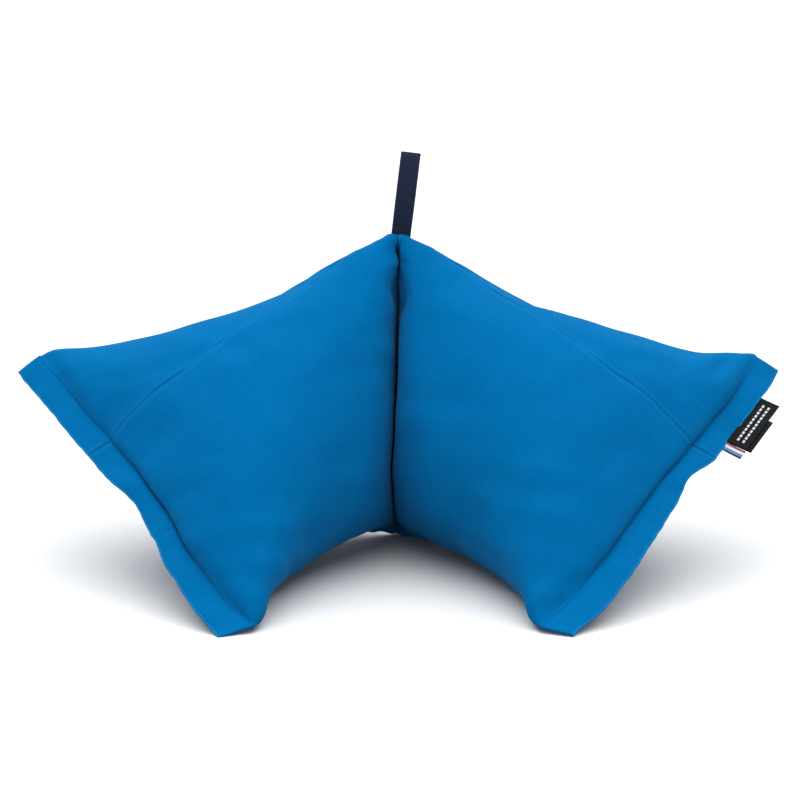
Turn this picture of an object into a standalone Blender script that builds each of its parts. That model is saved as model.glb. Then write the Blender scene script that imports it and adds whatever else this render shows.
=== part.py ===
"""Two-winged filled cushion in blue cotton canvas.

One long canvas cover is stitched together down its middle, which makes the upright spine, and
its two filled halves fold forward from it like an open book. Each half is closed at its outer end
by a flat stitched flange that is turned about 60 degrees against the spine. The cushion stands by
itself on the foot of its spine, the undersides of its wings and the two front flange corners.
A webbing loop stands on top of the spine. A side label, a care label and a striped ribbon tab are
sewn to the right wing's flange.

Metres, +Z up, the camera side is -Y. The origin is on the floor, at the centre of the cushion's box.
"""

import math

import bmesh
import bpy
import numpy as np
from mathutils import Matrix, Vector

# Clearance between two pieces that touch, and half the gap that is left in the front crease
TOUCH_GAP = 0.0003
CREASE_HALF_GAP = 0.0008

# The cover: two canvas layers lie on each other at the spine and in the flanges
HALF_TWO_LAYERS = 0.0012
SPINE_HEIGHT = 0.324
PANEL_WIDTH_AT_SPINE = 0.361
PANEL_WIDTH_AT_FLANGE = 0.400
HALF_FULLNESS = 0.100

# The right wing's flange, measured from the foot of the spine; the left wing mirrors it
STITCH_TOP = np.array([0.366, -0.035, 0.210])
STITCH_FOOT = np.array([0.141, -0.294, 0.004])
FLANGE_TOP = np.array([0.391, -0.045, 0.192])
FLANGE_FOOT = np.array([0.169, -0.303, 0.000])

# How a wing's sections run from the spine (share 0) to the flange stitching (share 1)
SECTION_POWER = 2.05
FIRST_BULGE = 0.28
SAG = 0.005
SET_BACK = 0.004
FAN_END = 0.08
SQUARE_START = 0.30
TURN_START = 0.05
TURN_END = 0.82
GATHER_REACH = 0.045

# The two front lobes press on each other in the crease, up to this share of the wing
LOBE_PRESS = 0.028
LOBE_END = 0.45

# Facets round a section, sections along a wing and rows across a flange
ROUND_STEPS = 56
SECTIONS = 30
FLANGE_ROWS = 3
FLANGE_TIP = 0.0010

# The flange's outer edge wavers: share of its length from the foot, and reach outward in metres
LEFT_WAVER = (
    (0.00, 0.001),
    (0.10, 0.003),
    (0.24, 0.000),
    (0.35, -0.008),
    (0.46, -0.014),
    (0.57, -0.007),
    (0.80, -0.003),
    (1.00, 0.000),
)
RIGHT_WAVER = (
    (0.00, 0.001),
    (0.13, 0.006),
    (0.24, 0.006),
    (0.35, 0.003),
    (0.46, 0.000),
    (0.57, -0.006),
    (0.66, 0.003),
    (0.92, 0.003),
    (1.00, 0.000),
)

# Webbing loop, sewn into the top of the spine
LOOP_HEIGHT = 0.087
LOOP_WIDTH = 0.020
LOOP_WEBBING = 0.0015
LOOP_HALF_OPENING = 0.0050
LOOP_LEAN = math.radians(6.8)
LOOP_OFFSET = 0.0035
LOOP_TAIL = 0.010
LOOP_LOWEST = SPINE_HEIGHT - 0.0004
LOOP_STEPS = 24

# Label and ribbon sizes: along the flange edge, out from it, and thickness
SIDE_LABEL = {"share": 0.803, "length": 0.068, "reach": 0.021, "thickness": 0.0012}
CARE_LABEL = {"share": 0.765, "length": 0.042, "reach": 0.026, "thickness": 0.0010}
RIBBON = {"share": 0.690, "length": 0.011, "reach": 0.021, "thickness": 0.0010}

BLUE = (0.002, 0.164, 0.445)
NAVY = (0.020, 0.032, 0.058)
BLACK = (0.012, 0.012, 0.013)
WHITE = (0.80, 0.80, 0.80)


def unit(vector):
    return vector / np.linalg.norm(vector)


def ease(value, start, end):
    """0 before start, 1 after end and a smooth S between them."""
    t = min(max((value - start) / (end - start), 0.0), 1.0)
    return t * t * (3 - 2 * t)


def upright(normal):
    """The steepest direction in a plane, and the level one beside it on the camera side."""
    up = np.array([0.0, 0.0, 1.0])
    up = unit(up - normal * (up @ normal))
    return up, np.cross(normal, up)


SPINE_MIDDLE = np.array([0.0, 0.0, SPINE_HEIGHT / 2])
STITCH_MIDDLE = (STITCH_TOP + STITCH_FOOT) / 2
STITCH_UP = unit(STITCH_TOP - STITCH_FOOT)
WING_AXIS = unit(STITCH_MIDDLE - SPINE_MIDDLE)
WING_HEADING = unit(WING_AXIS * np.array([1.0, 1.0, 0.0]))
WING_REACH = np.linalg.norm(STITCH_MIDDLE - SPINE_MIDDLE)
END_NORMAL = unit(WING_AXIS - STITCH_UP * (WING_AXIS @ STITCH_UP))
END_UP, END_FRONT = upright(END_NORMAL)
FLANGE_TURN = math.atan2(-(STITCH_UP @ END_FRONT), STITCH_UP @ END_UP)
FLANGE_OUT = unit(FLANGE_TOP - STITCH_TOP + FLANGE_FOOT - STITCH_FOOT)
FLANGE_UP = unit(FLANGE_TOP - FLANGE_FOOT)
FLANGE_NORMAL = unit(np.cross(FLANGE_OUT, FLANGE_UP))
EDGE_OUT = np.cross(FLANGE_UP, FLANGE_NORMAL)


def oval(half_height, half_thickness):
    """A closed oval as two rows of coordinates, from its top round by the camera side."""
    turn = np.linspace(0, 2 * math.pi, 721)
    power = 2 / SECTION_POWER
    high = half_height * np.sign(np.cos(turn)) * np.abs(np.cos(turn)) ** power
    wide = half_thickness * np.sign(np.sin(turn)) * np.abs(np.sin(turn)) ** power
    return high, wide


def oval_length(half_height, half_thickness):
    high, wide = oval(half_height, half_thickness)
    return float(np.hypot(np.diff(high), np.diff(wide)).sum())


def half_height_of(half_thickness, panel_width):
    """The half height at which an oval uses up both panels' width."""
    low, tall = panel_width * 0.2, panel_width * 0.5
    for _ in range(30):
        middle = (low + tall) / 2
        if oval_length(middle, half_thickness) > 2 * panel_width:
            tall = middle
        else:
            low = middle
    return low


def even_steps(high, wide):
    """The oval's points, moved to even steps of cloth round it."""
    walked = np.concatenate([[0], np.cumsum(np.hypot(np.diff(high), np.diff(wide)))])
    stops = np.arange(ROUND_STEPS) / ROUND_STEPS * walked[-1]
    return np.interp(stops, walked, high), np.interp(stops, walked, wide)


def section(share):
    """One section of the right wing, at a share of the way from the spine to the stitching."""
    bulge = math.sin(math.pi * share)
    half_thickness = max(HALF_TWO_LAYERS, HALF_FULLNESS * bulge)
    panel_width = PANEL_WIDTH_AT_SPINE + (PANEL_WIDTH_AT_FLANGE - PANEL_WIDTH_AT_SPINE) * share
    gather = (PANEL_WIDTH_AT_SPINE - SPINE_HEIGHT) * math.exp(-share * WING_REACH / GATHER_REACH)
    half_height = half_height_of(half_thickness, panel_width - gather)
    high, wide = even_steps(*oval(half_height, half_thickness))

    along = WING_REACH * (share - FIRST_BULGE * math.sin(2 * math.pi * share) / (2 * math.pi))
    fan = ease(share, 0, FAN_END)
    normal = unit(np.array([1.0, 0.0, 0.0]) * (1 - fan) + WING_HEADING * fan)
    square = ease(share, SQUARE_START, 1)
    normal = unit(normal * (1 - square) + END_NORMAL * square)
    up, front = upright(normal)
    turn = FLANGE_TURN * ease(share, TURN_START, TURN_END)
    tall_way = up * math.cos(turn) - front * math.sin(turn)
    thick_way = front * math.cos(turn) + up * math.sin(turn)
    middle = SPINE_MIDDLE + WING_AXIS * along - (END_UP * SAG + END_FRONT * SET_BACK) * bulge
    points = middle + high[:, None] * tall_way + wide[:, None] * thick_way
    press = LOBE_PRESS * math.sin(math.pi * min(share / LOBE_END, 1.0))
    points[:, 0] -= press * np.maximum(wide / half_thickness, 0.0)
    return points


def waver(table, share):
    """The outer edge's reach at a share of its length, eased between the table's rows."""
    for (share_a, out_a), (share_b, out_b) in zip(table, table[1:]):
        if share <= share_b:
            return out_a + (out_b - out_a) * ease(share, share_a, share_b)
    return table[-1][1]


def flange_edge(share, table):
    """A point on the flange's outer edge, at a share of its length from the foot."""
    return FLANGE_FOOT + (FLANGE_TOP - FLANGE_FOOT) * share + FLANGE_OUT * waver(table, share)


def flange_rows(stitched, table):
    """The flat rows from the stitching to the outer edge, and the closed tip beyond them."""
    shares = np.clip((stitched - STITCH_MIDDLE) @ STITCH_UP / PANEL_WIDTH_AT_FLANGE + 0.5, 0, 1)
    seam = STITCH_FOOT + (STITCH_TOP - STITCH_FOOT) * shares[:, None]
    lift = ((stitched - seam) @ FLANGE_NORMAL)[:, None] * FLANGE_NORMAL
    edge = np.array([flange_edge(share, table) for share in shares])
    rows = [stitched]
    for row in range(1, FLANGE_ROWS + 1):
        rows.append(seam + (edge - seam) * row / FLANGE_ROWS + lift)
    rows.append(edge + FLANGE_OUT * FLANGE_TIP)
    return rows


def wing_rows(side, table):
    """All rows of one wing, side +1 for the right one and -1 for the left one."""
    rows = [section(step / SECTIONS) for step in range(SECTIONS + 1)]
    rows[0][:, 0] = 0.0
    for row in rows[1:]:
        row[:, 0] = np.maximum(row[:, 0], CREASE_HALF_GAP)
    rows = rows[:-1] + flange_rows(rows[-1], table)
    for row in rows:
        row[:, 2] = np.maximum(row[:, 2], 0.0)
        row[:, 0] *= side
    return rows


RIGHT_WING = wing_rows(+1, RIGHT_WAVER)
LEFT_WING = wing_rows(-1, LEFT_WAVER)
BACK = max(row[:, 1].max() for row in RIGHT_WING + LEFT_WING)
FRONT = min(row[:, 1].min() for row in RIGHT_WING + LEFT_WING)
SPINE_PLACE = Vector((0.0, -(BACK + FRONT) / 2, 0.0))


def clear_scene():
    for item in list(bpy.data.objects):
        bpy.data.objects.remove(item, do_unlink=True)
    collection = bpy.data.collections.new("two_winged_cushion")
    bpy.context.scene.collection.children.link(collection)
    return collection


def cloth_material(name, colour, roughness):
    material = bpy.data.materials.new(name)
    material.use_nodes = True
    shader = material.node_tree.nodes["Principled BSDF"]
    shader.inputs["Base Color"].default_value = (*colour, 1.0)
    shader.inputs["Roughness"].default_value = roughness
    shader.inputs["Metallic"].default_value = 0.0
    material.diffuse_color = (*colour, 1.0)
    return material


def place(item, collection, material, spine):
    """Links a piece, gives it its material and hangs it on the spine's empty."""
    collection.objects.link(item)
    item.data.materials.append(material)
    item.parent = spine
    return item


def add_wing(bm, rows):
    """Skins one wing: a tube of quads over its rows."""
    rings = [[bm.verts.new(point) for point in row] for row in rows]
    outward = rows[1][0][0] > 0
    for inner, outer in zip(rings, rings[1:]):
        for step in range(ROUND_STEPS):
            following = (step + 1) % ROUND_STEPS
            corners = [inner[step], inner[following], outer[following], outer[step]]
            bm.faces.new(corners if outward else corners[::-1])


def cushion(collection, material, spine):
    """The filled cover, one solid: both wings share the stitched rows at the spine."""
    mesh = bpy.data.meshes.new("cushion")
    bm = bmesh.new()
    add_wing(bm, RIGHT_WING)
    add_wing(bm, LEFT_WING)
    bmesh.ops.remove_doubles(bm, verts=bm.verts, dist=0.00005)
    bmesh.ops.recalc_face_normals(bm, faces=bm.faces)
    bm.to_mesh(mesh)
    bm.free()
    mesh.shade_smooth()
    return place(bpy.data.objects.new("cushion", mesh), collection, material, spine)


def loop_outline(inset):
    """The loop seen from the side, as a drop that narrows to its tail and to its folded top."""
    points = []
    bottom = LOOP_TAIL if inset else 0.0
    top = LOOP_HEIGHT - inset
    for step in range(LOOP_STEPS + 1):
        share = step / LOOP_STEPS
        height = bottom + (top - bottom) * share
        swell = math.sin(math.pi * max(height - LOOP_TAIL, 0.0) / (LOOP_HEIGHT - LOOP_TAIL)) ** 0.7
        half = LOOP_HALF_OPENING * swell + 0.0002
        points.append((half if inset else half + LOOP_WEBBING, height))
    return points + [(-half, height) for half, height in reversed(points)]


def carry_loop(collection, material, spine):
    """One band of webbing, doubled into a loop that stands open towards the left and right."""
    curve = bpy.data.curves.new("carry_loop", "CURVE")
    curve.dimensions = "2D"
    curve.fill_mode = "BOTH"
    curve.extrude = LOOP_WIDTH / 2
    for inset in (0.0, LOOP_WEBBING):
        outline = loop_outline(inset)
        spline = curve.splines.new("POLY")
        spline.points.add(len(outline) - 1)
        for point, (across, height) in zip(spline.points, outline):
            point.co = (across, height, 0.0, 1.0)
        spline.use_cyclic_u = True
    item = place(bpy.data.objects.new("carry_loop", curve), collection, material, spine)
    stand = Matrix(((0, 0, 1), (1, 0, 0), (0, 1, 0))).to_4x4()
    lean = Matrix.Rotation(LOOP_LEAN, 4, "Y")
    # The leaning tail's lower corner lies a touching gap over the seam, which falls off sideways
    seat = LOOP_LOWEST + LOOP_WIDTH / 2 * math.sin(LOOP_LEAN)
    item.matrix_local = Matrix.Translation((LOOP_OFFSET, 0, seat)) @ lean @ stand
    return item


def edge_piece(name, size, behind, collection, material, spine):
    """A folded label or ribbon that stands out from the right flange's outer edge."""
    mesh = bpy.data.meshes.new(name)
    bm = bmesh.new()
    bmesh.ops.create_cube(bm, size=1.0)
    bmesh.ops.scale(bm, vec=(size["reach"], size["length"], size["thickness"]), verts=bm.verts)
    bmesh.ops.translate(bm, vec=(size["reach"] / 2, 0, 0), verts=bm.verts)
    bm.to_mesh(mesh)
    bm.free()
    item = place(bpy.data.objects.new(name, mesh), collection, material, spine)
    root = Vector(flange_edge(size["share"], RIGHT_WAVER) + EDGE_OUT * (FLANGE_TIP + TOUCH_GAP))
    normal = Vector(FLANGE_NORMAL)
    turned = Matrix((EDGE_OUT, FLANGE_UP, FLANGE_NORMAL)).transposed().to_4x4()
    item.matrix_local = Matrix.Translation(root - normal * behind) @ turned
    return item


def build():
    collection = clear_scene()
    spine = bpy.data.objects.new("spine_foot", None)
    collection.objects.link(spine)
    spine.location = SPINE_PLACE

    canvas = cloth_material("blue_cotton_canvas", BLUE, 0.85)
    webbing = cloth_material("navy_webbing", NAVY, 0.8)
    satin = cloth_material("black_woven_label", BLACK, 0.6)
    ribbon = cloth_material("striped_ribbon", WHITE, 0.7)

    cushion(collection, canvas, spine)
    carry_loop(collection, webbing, spine)
    edge_piece("side_label", SIDE_LABEL, 0.0, collection, satin, spine)
    layer = (SIDE_LABEL["thickness"] + CARE_LABEL["thickness"]) / 2 + TOUCH_GAP
    edge_piece("care_label", CARE_LABEL, layer, collection, satin, spine)
    edge_piece("ribbon_tab", RIBBON, 0.0, collection, ribbon, spine)


build()
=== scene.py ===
"""Looks of the two-winged filled cushion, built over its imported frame.

One canvas cover, stitched together down its middle, stands like an open book. Its two filled wings
fold forward and press on each other in the front crease, and each ends in a flat stitched flange.
A webbing loop is sewn into the top of the spine, and two woven labels and a striped ribbon tab are
caught in the hem of the right flange.

The file is laid out as an add-on and is run as a script. Metres, +Z up, the camera side is -Y.
"""

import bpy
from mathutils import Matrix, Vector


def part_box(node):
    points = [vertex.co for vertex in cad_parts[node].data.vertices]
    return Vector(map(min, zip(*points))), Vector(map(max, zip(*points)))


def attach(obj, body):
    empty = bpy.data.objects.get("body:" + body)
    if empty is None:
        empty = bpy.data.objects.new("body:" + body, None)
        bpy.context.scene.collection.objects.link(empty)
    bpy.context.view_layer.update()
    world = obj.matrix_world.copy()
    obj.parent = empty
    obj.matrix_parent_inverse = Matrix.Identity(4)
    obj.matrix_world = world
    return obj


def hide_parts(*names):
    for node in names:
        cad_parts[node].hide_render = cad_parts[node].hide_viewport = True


bl_info = {
    "name": "Two-winged cushion",
    "version": (1, 0, 0),
    "blender": (4, 5, 0),
    "location": "View3D > Sidebar > Cushion",
    "description": "Makes a filled two-winged canvas cushion with its loop, labels and stage",
    "category": "Object",
}

import math

import bmesh
import bpy
import numpy as np
from bpy.props import FloatProperty, FloatVectorProperty, PointerProperty
from mathutils import Vector

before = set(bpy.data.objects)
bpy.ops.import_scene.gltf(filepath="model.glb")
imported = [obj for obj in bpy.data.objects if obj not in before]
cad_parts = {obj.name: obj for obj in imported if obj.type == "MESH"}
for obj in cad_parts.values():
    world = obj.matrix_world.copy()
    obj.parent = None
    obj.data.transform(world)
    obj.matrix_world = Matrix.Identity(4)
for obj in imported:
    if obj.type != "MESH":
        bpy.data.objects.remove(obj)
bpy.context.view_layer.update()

# The frame gives the spine's place: the loop stands centred on it
LOOP_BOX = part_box("carry_loop")
SPINE_FOOT = np.array([0.0, (LOOP_BOX[0].y + LOOP_BOX[1].y) / 2, 0.0])

# The cover's shape, as the frame has it, measured from the foot of the spine
CREASE_HALF_GAP = 0.0008
HALF_TWO_LAYERS = 0.0012
SPINE_HEIGHT = 0.324
PANEL_WIDTH_AT_SPINE = 0.361
PANEL_WIDTH_AT_FLANGE = 0.400
HALF_FULLNESS = 0.100
STITCH_TOP = np.array([0.366, -0.035, 0.210])
STITCH_FOOT = np.array([0.141, -0.294, 0.004])
FLANGE_TOP = np.array([0.391, -0.045, 0.192])
FLANGE_FOOT = np.array([0.169, -0.303, 0.000])
SECTION_POWER = 2.05
FIRST_BULGE = 0.28
SAG = 0.005
SET_BACK = 0.004
FAN_END = 0.08
SQUARE_START = 0.30
TURN_START = 0.05
TURN_END = 0.82
GATHER_REACH = 0.045
LOBE_PRESS = 0.028
LOBE_END = 0.45

# The front crease: both lobes round into it like bolsters that are pressed flat where they meet.
# Near the floor they lift and draw back, but by LOBE_MEET less where they meet. The crease's line
# wavers: height, and reach to the right.
LOBE_RADIUS_LOW = 0.044
LOBE_RADIUS_HIGH = 0.016
LOBE_FLATTENED = 0.0015
LOBE_ROUND_FROM = 0.050
LOBE_TURN_REACH = 0.140
LOBE_LIFT = 0.020
LOBE_LIFT_HEIGHT = 0.120
LOBE_MEET = 0.75
LOBE_MEET_REACH = 0.022
LOBE_DRAW = 0.25
LOBE_DRAW_HEIGHT = 0.040
LOBE_DRAW_REACH = 0.060
CREASE_LINE = (
    (0.000, -0.0010), (0.030, -0.0030), (0.058, -0.0045), (0.095, -0.0065), (0.138, -0.0036),
    (0.206, 0.0000), (0.227, 0.0005), (0.243, 0.0010), (0.258, 0.0030), (0.276, 0.0018),
    (0.292, 0.0015), (0.301, 0.0042), (0.306, 0.0010), (0.312, -0.0028), (0.317, -0.0022),
    (0.324, 0.0015),
)
CREASE_LINE_REACH = 0.014

# Just below the loop the cloth bridges the crease: where it starts, is whole and ends, how far it
# comes forward and up, its reach to both sides, and how much its top rounds back
BRIDGE_FROM = 0.306
BRIDGE_WHOLE = 0.317
BRIDGE_TOP = 0.3262
BRIDGE_FORWARD = 0.0115
BRIDGE_UP = 0.0022
BRIDGE_REACH = 0.009
BRIDGE_ROUNDING = 0.75

# The top panel seam starts on the crown of the spine and ends this far round the section, on the
# camera side. Both ends of the turn are whole columns, so that the flange's two layers pair up.
SEAM_TURN = 22 / 128
SEAM_TURN_START = 0.18
SEAM_TURN_END = 0.76

# Rows and columns of the cloth that is simulated, and of the finished cover
CLOTH_ROWS = 56
CLOTH_COLUMNS = 128
COVER_ROWS = 132
COVER_COLUMNS = 256
FINER_NEAR_ENDS = 0.7
SEAM_COLUMN_STEPS = (-0.0018, -0.0009, 0.0009, 0.0018)

# Cloth simulation
CLOTH_FRAMES = 20
LARGEST_MOVE = 0.008
CALMING_PASSES = 3

# What differs between the wings. lobe_turn is how far the front turns back towards the crease and
# lift_reach how far from it the foot lifts. edge_top and stitch_top move the upper ends of both
# lines along the flange. Tables start with a share of the flange's length from its foot, or for
# crown a share of the way from the spine to the flange:
#   edge, stitch  how far the outer edge and the inner stitch line waver outwards
#   puff          how much the flange's layers part
#   roll          how much the filled part rolls over its stitching
#   crown         how far the top rises
#   creases       the flange's cross creases: share, height and half width
#   dents         the filled part's dents and swellings: share along the wing, turn round it from
#                 the top seam, reach along and round in metres, and height
RIGHT_WING = {
    "seed": 11,
    "lobe_turn": 0.004,
    "lift_reach": 0.055,
    "edge_top": 0.004,
    "stitch_top": -0.004,
    "edge": (
        (0.00, -0.003), (0.13, 0.006), (0.24, 0.006), (0.35, 0.003), (0.46, 0.000),
        (0.57, -0.006), (0.66, 0.003), (0.92, 0.003), (1.00, 0.000),
    ),
    "stitch": (
        (0.00, -0.004), (0.11, 0.003), (0.26, 0.004), (0.42, 0.003), (0.51, 0.003),
        (0.62, 0.006), (0.72, 0.0085), (0.83, 0.0105), (1.00, 0.010),
    ),
    "puff": ((0.0, 0.4), (0.2, 1.2), (0.5, 1.2), (0.8, 0.6), (1.0, 0.2)),
    "roll": ((0.0, 0.2), (0.12, 0.8), (0.5, 1.0), (0.85, 1.3), (0.95, 0.5), (1.0, 0.0)),
    "crown": (
        (0.00, 0.000), (0.12, -0.002), (0.25, -0.0055), (0.60, -0.0050), (0.80, -0.0045),
        (0.90, 0.0010), (0.96, 0.0035), (1.00, 0.000),
    ),
    "creases": (
        (0.90, 0.0012, 0.018), (0.55, 0.0016, 0.016), (0.40, -0.0012, 0.020), (0.17, 0.0012, 0.018),
    ),
    "dents": (
        (0.88, 0.31, 0.030, 0.030, 0.004), (0.90, 0.885, 0.009, 0.016, -0.0035),
        (0.86, 0.885, 0.010, 0.018, 0.0015),
    ),
}
LEFT_WING = {
    "seed": 47,
    "lobe_turn": 0.020,
    "lift_reach": 0.085,
    "edge_top": 0.0,
    "stitch_top": -0.004,
    "edge": (
        (0.00, 0.001), (0.10, 0.003), (0.24, 0.000), (0.35, -0.008), (0.46, -0.014),
        (0.57, -0.007), (0.80, -0.003), (1.00, 0.000),
    ),
    "stitch": (
        (0.00, -0.004), (0.10, 0.003), (0.25, 0.002), (0.41, -0.005), (0.53, -0.0055),
        (0.67, -0.002), (0.76, 0.002), (0.85, 0.003), (1.00, 0.006),
    ),
    "puff": ((0.0, 0.4), (0.12, 1.5), (0.30, 2.6), (0.50, 2.6), (0.62, 1.0), (0.72, 0.3), (1.0, 0.1)),
    "roll": ((0.0, 0.2), (0.12, 0.9), (0.50, 1.2), (0.62, 0.8), (0.75, 0.4), (0.95, 0.3), (1.0, 0.0)),
    "crown": ((0.00, 0.000), (0.60, 0.000), (0.80, 0.002), (0.93, 0.0045), (1.00, 0.001)),
    "creases": (
        (0.90, 0.0012, 0.016), (0.62, -0.0016, 0.020), (0.52, 0.0014, 0.014),
        (0.26, 0.0018, 0.018), (0.12, -0.0010, 0.016),
    ),
    "dents": ((0.88, 0.31, 0.030, 0.030, 0.004), (0.86, 0.06, 0.020, 0.030, -0.002)),
}

# Where along a wing its cloth starts to follow the stitch line, and where the flange's upper end
# starts. The roll over the stitching: its height, how soon it rises and how far it reaches. Then
# how far to both sides of the top the crown's rise reaches
STITCH_SHIFT_START = 0.72
FLANGE_TIP = 0.88
ROLL_HEIGHT = 0.009
ROLL_START = 0.004
ROLL_REACH = 0.035
CROWN_REACH = 0.060

# Rows across the flange, as shares of its width, and the turned hem's two lips past its edge:
# how far out from the edge, and what is left of the half thickness. One row carries the hem's
# topstitching, and the inner stitching pinches the layers to a share of their thickness.
FLANGE_STATIONS = (0.03, 0.07, 0.13, 0.2, 0.3, 0.4, 0.5, 0.6, 0.7, 0.8, 0.87, 0.91, 0.93, 0.95, 1.0)
LIP_STATIONS = ((0.0004, 0.60), (0.0007, 0.35), (0.0003, 0.10), (-0.0005, 0.0))
TOPSTITCH_STATION = 0.93
STITCH_PINCH = 0.5

# The panel seams: half the groove's width, and the lip beside it. Puckers beside the flange
# stitching reach this far, and its longer folds that far
SEAM_GROOVE = 0.0007
SEAM_LIP_AT = 0.0030
SEAM_LIP = 0.0020
PUCKER_REACH = 0.012
FOLD_REACH = 0.035

# Painted highlight: how much paler the seams' lips and the hem's edge are painted, where they catch the
# light, and over how many rows the hem's highlight fades
SEAM_HIGHLIGHT = 0.08
HEM_HIGHLIGHT = 0.20
HEM_HIGHLIGHT_ROWS = 1.8

# Webbing loop, leaning to the right, with its tails between the two layers of the spine
LOOP_HEIGHT = 0.087
LOOP_WIDTH = 0.020
LOOP_LEAN = math.radians(6.8)
LOOP_OFFSET = 0.0035
LOOP_TAIL = 0.010
LOOP_IN_SEAM = 0.005
LOOP_HALF_OPENING = 0.0058
LOOP_HALF_CLOSED = 0.00095
WEBBING = 0.0014

# Labels and ribbon in the right flange's hem: where, along the edge, out from it, and one layer
SIDE_LABEL = {"share": 0.8095, "length": 0.068, "reach": 0.021, "layer": 0.00035}
CARE_LABEL = {"share": 0.782, "length": 0.045, "reach": 0.026, "layer": 0.00025}
RIBBON = {"share": 0.708, "length": 0.011, "reach": 0.021, "layer": 0.00035}
SEWN_IN = 0.0012

# Between a label's two layers, how far the care label lies behind the side label, the waves of the
# ribbon's selvedge, and the side label's bare ends beside its dashes
LABEL_GAP = 0.0002
CARE_LABEL_BEHIND = 0.0010
RIBBON_SELVEDGE = 0.0001
DASH_MARGIN = 0.006

# The labels and the ribbon bow towards the camera side: how far at their reach, how much the
# side label cups along the edge, and how the ribbon curls
LABEL_BOW = 0.0040
LABEL_CUP = 0.0005
RIBBON_BOW = 0.0030
RIBBON_CURL = 22

# Camera, worked out from the photo's outline: 16 degrees above the horizon, 2.6 m away
CAMERA_TARGET = SPINE_FOOT + np.array([0.0, 0.0, 0.148])
CAMERA_DISTANCE = 2.625
CAMERA_ELEVATION = math.radians(16)
CAMERA_SHIFT = 0.003125
FLOOR_RADIUS = 9.0


def linear(colour):
    """An sRGB hex colour as linear red, green and blue."""
    parts = [int(colour[i : i + 2], 16) / 255 for i in (1, 3, 5)]
    return tuple(c / 12.92 if c <= 0.04045 else ((c + 0.055) / 1.055) ** 2.4 for c in parts)


def unit(vector):
    return vector / np.linalg.norm(vector, axis=-1, keepdims=True)


def ease(value, start, end):
    """0 before start, 1 after end and a smooth S between them."""
    t = np.clip((value - start) / (end - start), 0.0, 1.0)
    return t * t * (3 - 2 * t)


def hump(distance, reach):
    """1 at no distance, falling off smoothly over the reach."""
    return np.exp(-((distance / reach) ** 2))


def ripple(place, wave, seed):
    """Smooth uneven waves along a line, mostly between -1 and 1."""
    draw = np.random.default_rng(seed)
    total = 0.0
    for stretch in (0.63, 0.85, 1.2, 1.7):
        total = total + np.sin(2 * math.pi * (place / (wave * stretch) + draw.random()))
    return total / 2.4


def walk(steps):
    """How far along a line each point is, from the steps between them."""
    return np.concatenate([[0], np.cumsum(steps)])


def off_top(turn):
    """How far round a turn is from the top, either way."""
    return np.abs((turn + 0.5) % 1.0 - 0.5)


def off_seams(turn):
    """How far round a turn is from the nearer panel seam."""
    return np.abs((turn + 0.25) % 0.5 - 0.25)


def upright(normal):
    """The steepest direction in a plane, and the level one beside it on the camera side."""
    up = np.array([0.0, 0.0, 1.0])
    up = unit(up - normal * (up @ normal))
    return up, np.cross(normal, up)


SPINE_MIDDLE = np.array([0.0, 0.0, SPINE_HEIGHT / 2])
STITCH_MIDDLE = (STITCH_TOP + STITCH_FOOT) / 2
STITCH_UP = unit(STITCH_TOP - STITCH_FOOT)
WING_AXIS = unit(STITCH_MIDDLE - SPINE_MIDDLE)
WING_HEADING = unit(WING_AXIS * np.array([1.0, 1.0, 0.0]))
WING_REACH = np.linalg.norm(STITCH_MIDDLE - SPINE_MIDDLE)
END_NORMAL = unit(WING_AXIS - STITCH_UP * (WING_AXIS @ STITCH_UP))
END_UP, END_FRONT = upright(END_NORMAL)
FLANGE_TURN = math.atan2(-(STITCH_UP @ END_FRONT), STITCH_UP @ END_UP)
FLANGE_OUT = unit(FLANGE_TOP - STITCH_TOP + FLANGE_FOOT - STITCH_FOOT)
FLANGE_UP = unit(FLANGE_TOP - FLANGE_FOOT)
FLANGE_LENGTH = np.linalg.norm(FLANGE_TOP - FLANGE_FOOT)
FLANGE_NORMAL = unit(np.cross(FLANGE_OUT, FLANGE_UP))
EDGE_OUT = np.cross(FLANGE_UP, FLANGE_NORMAL)


def clear_selection():
    if bpy.context.object and bpy.context.object.mode != "OBJECT":
        bpy.ops.object.mode_set(mode="OBJECT")
    bpy.ops.object.select_all(action="DESELECT")


def settings():
    return bpy.context.scene.winged_cushion


def add_node(tree, kind, inputs=None, **values):
    """Adds a node, sets its values, and fills or links its inputs."""
    node = tree.nodes.new(kind)
    for name, value in values.items():
        setattr(node, name, value)
    for name, value in (inputs or {}).items():
        if isinstance(value, bpy.types.NodeSocket):
            tree.links.new(value, node.inputs[name])
        else:
            node.inputs[name].default_value = value
    return node


def start_material(name):
    """A new material with only its shader and output, and the shader's place in it."""
    material = bpy.data.materials.new(name)
    material.use_nodes = True
    tree = material.node_tree
    return material, tree, tree.nodes["Principled BSDF"]


def math_node(tree, operation, *values):
    """The result of one sum, on sockets or numbers."""
    return add_node(tree, "ShaderNodeMath", dict(enumerate(values)), operation=operation).outputs[0]


def stretched(tree, value, low, high, new_low=0.0, new_high=1.0):
    """A value between low and high, stretched to the range from new_low to new_high."""
    limits = {"From Min": low, "From Max": high, "To Min": new_low, "To Max": new_high}
    return add_node(tree, "ShaderNodeMapRange", {"Value": value, **limits}).outputs[0]


def toned(colour, factor):
    """A colour made deeper or paler."""
    return [min(1.0, part * factor) for part in colour]


def mixed(tree, factor, first, second, **values):
    """A mix of two colours, each a socket or red, green and blue."""
    pair = [c if isinstance(c, bpy.types.NodeSocket) else (*c, 1.0) for c in (first, second)]
    inputs = {0: factor, 6: pair[0], 7: pair[1]}
    return add_node(tree, "ShaderNodeMix", inputs, data_type="RGBA", **values).outputs[2]


def bumped(tree, height, strength, distance, **under):
    """Normals bumped by a height, whose real size is distance. Normal gives bumps under them."""
    inputs = {"Height": height, "Strength": strength, "Distance": distance, **under}
    return add_node(tree, "ShaderNodeBump", inputs).outputs[0]


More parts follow.
